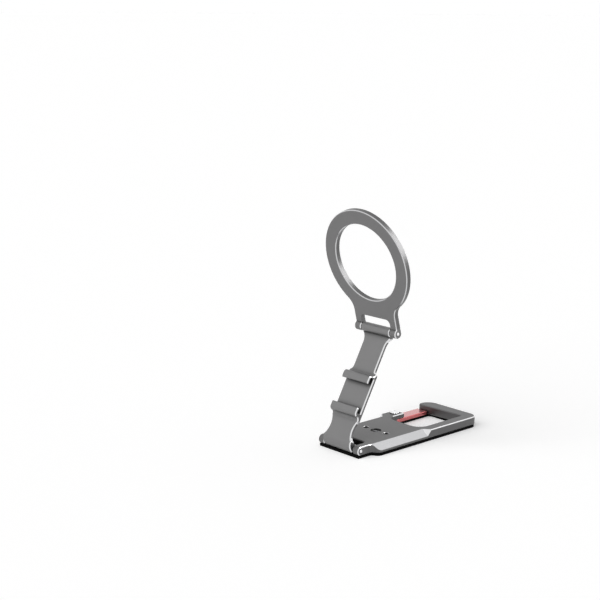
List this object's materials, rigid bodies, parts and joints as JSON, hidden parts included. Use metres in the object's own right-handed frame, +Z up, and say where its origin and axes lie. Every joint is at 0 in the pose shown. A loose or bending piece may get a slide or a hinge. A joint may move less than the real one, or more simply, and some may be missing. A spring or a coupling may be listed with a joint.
{
  "type": "magnetic phone stand",
  "caption": "Folding aluminium phone stand: a carabiner-shaped base with a red gate, a waisted arm on a friction hinge, and a flat magnetic ring hinged on top.",
  "frame": {"origin": "on the floor, under the middle of the base plate", "axes": "+X along the base from its hinge to the loop, +Y across the base towards the gate, +Z up"},
  "size_m": [0.0917, 0.058, 0.1275],
  "materials": {
    "base_metal": "satin grey anodised, polished bevels",
    "arm_metal": "satin grey anodised",
    "ring_metal": "satin grey anodised",
    "gate_red": "red anodised",
    "pin_steel": "bright turned",
    "spring_steel": "plain",
    "yoke_steel": "plain",
    "magnet_plating": "nickel plated",
    "washer_plastic": "black",
    "cover_soft": "matt black",
    "pad_rubber": "matt black"
  },
  "bodies": {
    "base": {"base_plate": "base_metal", "base_pad": "pad_rubber", "gate_pivot_pin": "pin_steel", "gate_spring": "spring_steel", "base_hinge_pin": "pin_steel", "base_hinge_washers": "washer_plastic"},
    "arm": {"arm": "arm_metal", "base_friction_sleeve": "spring_steel", "ring_friction_sleeve": "spring_steel"},
    "ring": {"ring_frame": "ring_metal", "ring_yoke": "yoke_steel", "ring_magnets": "magnet_plating", "ring_cover": "cover_soft", "ring_hinge_pin": "pin_steel", "ring_hinge_washers": "washer_plastic"},
    "gate": {"gate": "gate_red"}
  },
  "joints": [
    {"name": "base_hinge", "type": "hinge", "parent": "base", "child": "arm", "pos_m": [-0.04283, 0, 0.00386], "axis": [0, -1, 0], "range_deg": [-60.7, 26]},
    {"name": "ring_hinge", "type": "hinge", "parent": "arm", "child": "ring", "pos_m": [-0.01699, 0, 0.06188], "axis": [0, -1, 0], "range_deg": [-44, 136]},
    {"name": "gate_hinge", "type": "hinge", "parent": "base", "child": "gate", "pos_m": [0.01317, 0.01518, 0.0025], "axis": [0, 0, -1], "range_deg": [0, 40], "stiffness_Nm_per_rad": 0.02, "deforming": ["gate_spring"]}
  ]
}
